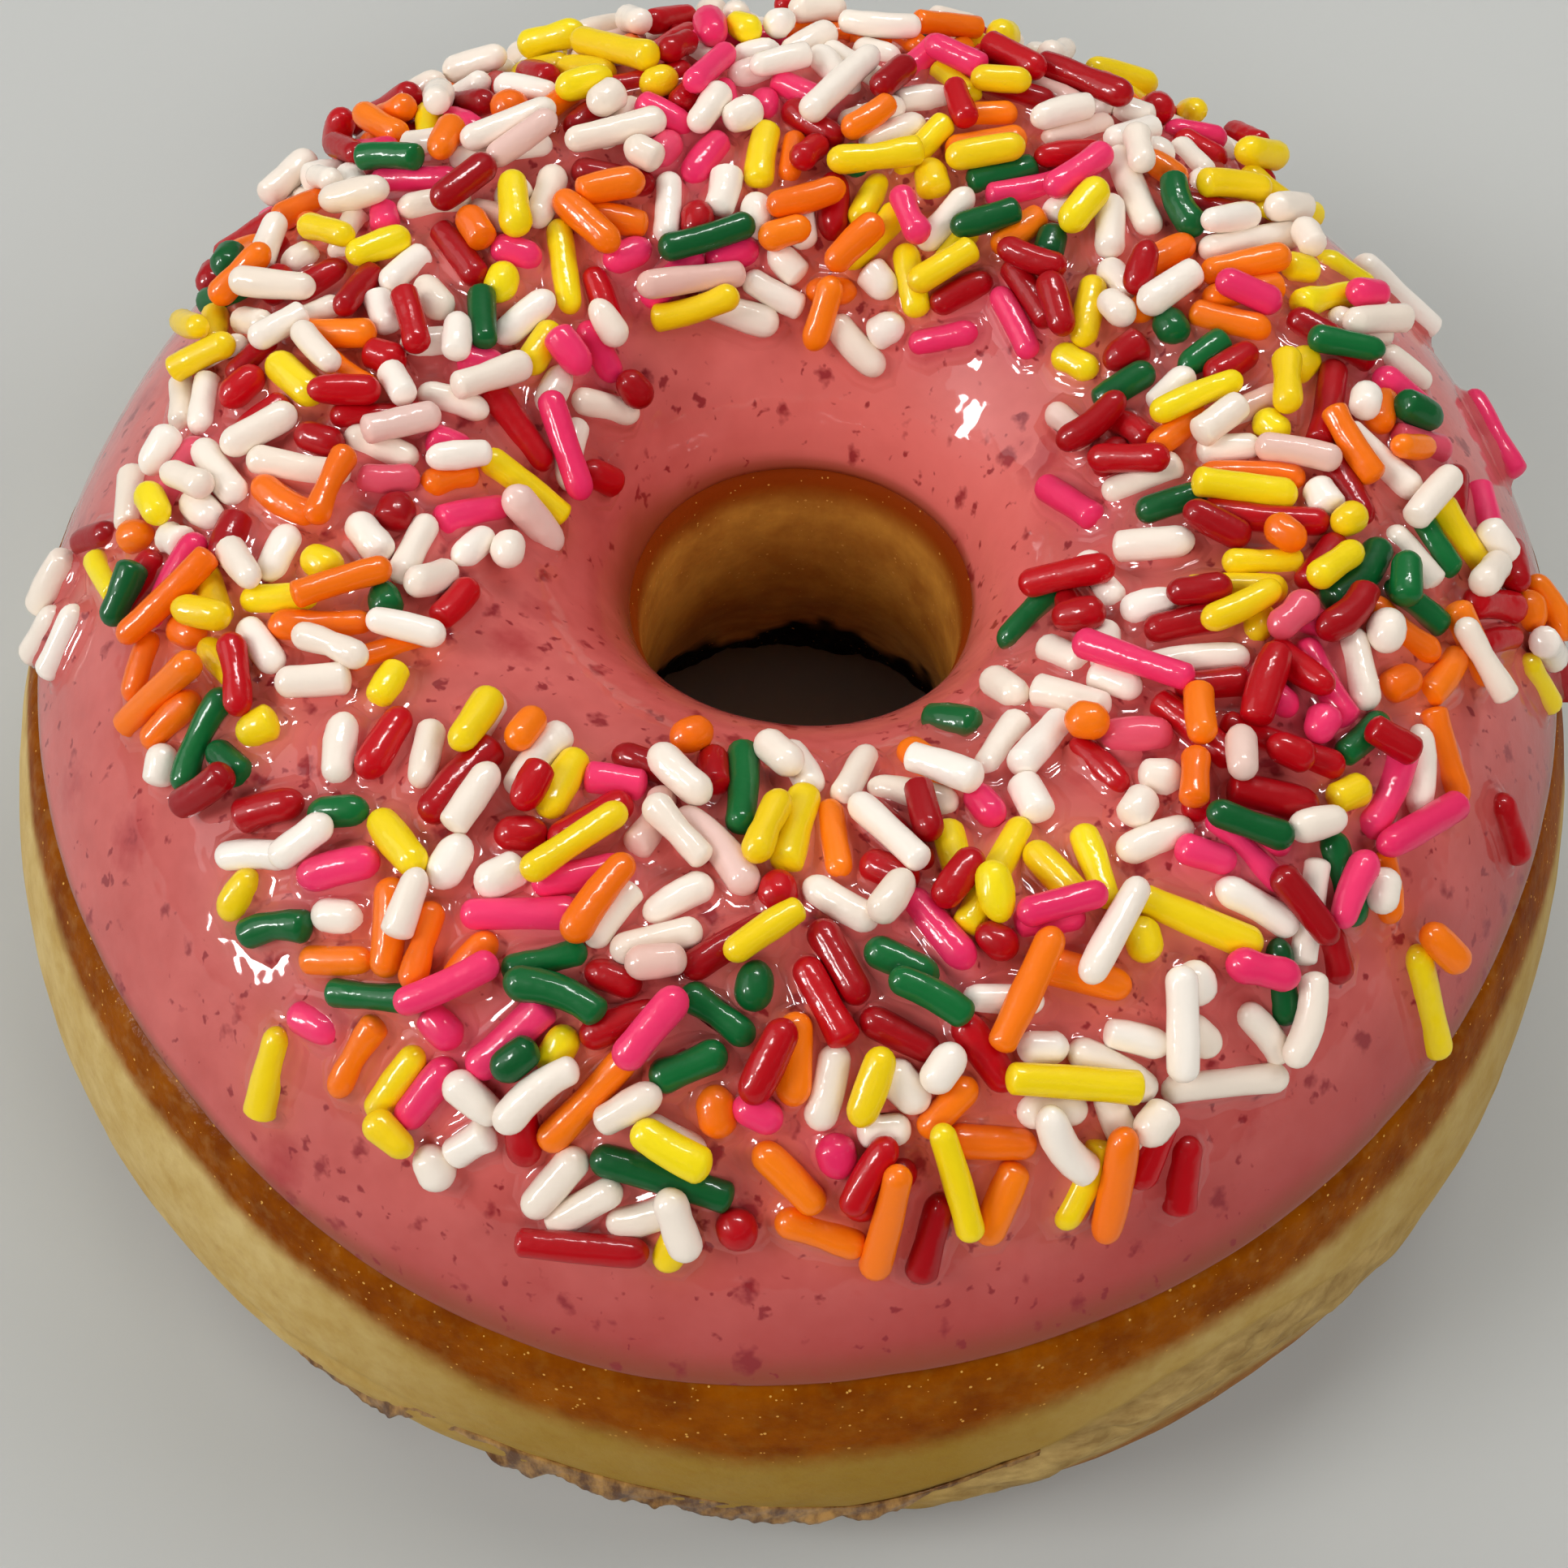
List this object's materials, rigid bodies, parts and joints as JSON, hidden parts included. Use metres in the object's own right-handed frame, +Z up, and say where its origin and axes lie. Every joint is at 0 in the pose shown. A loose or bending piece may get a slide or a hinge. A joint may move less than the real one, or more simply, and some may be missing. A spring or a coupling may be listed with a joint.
{
  "type": "sprinkle frosted doughnut",
  "caption": "Uncut raised ring doughnut with strawberry-pink frosting over its upper half, made to carry coloured sprinkles; rests on its flat base.",
  "frame": {"origin": "on the surface that the doughnut rests on, at the middle of its hole", "axes": "+Z up along the hole's axis, out of the frosted side; the widest way across lies nearly along Y"},
  "size_m": [0.0906, 0.0931, 0.0353],
  "materials": {
    "dough": "fried raised dough: golden brown with a pale belt, finely pebbled, slightly oily",
    "frosting": "set pink frosting, smooth and softly glossy"
  },
  "bodies": {
    "root": {"dough": "dough", "frosting": "frosting"}
  },
  "joints": []
}
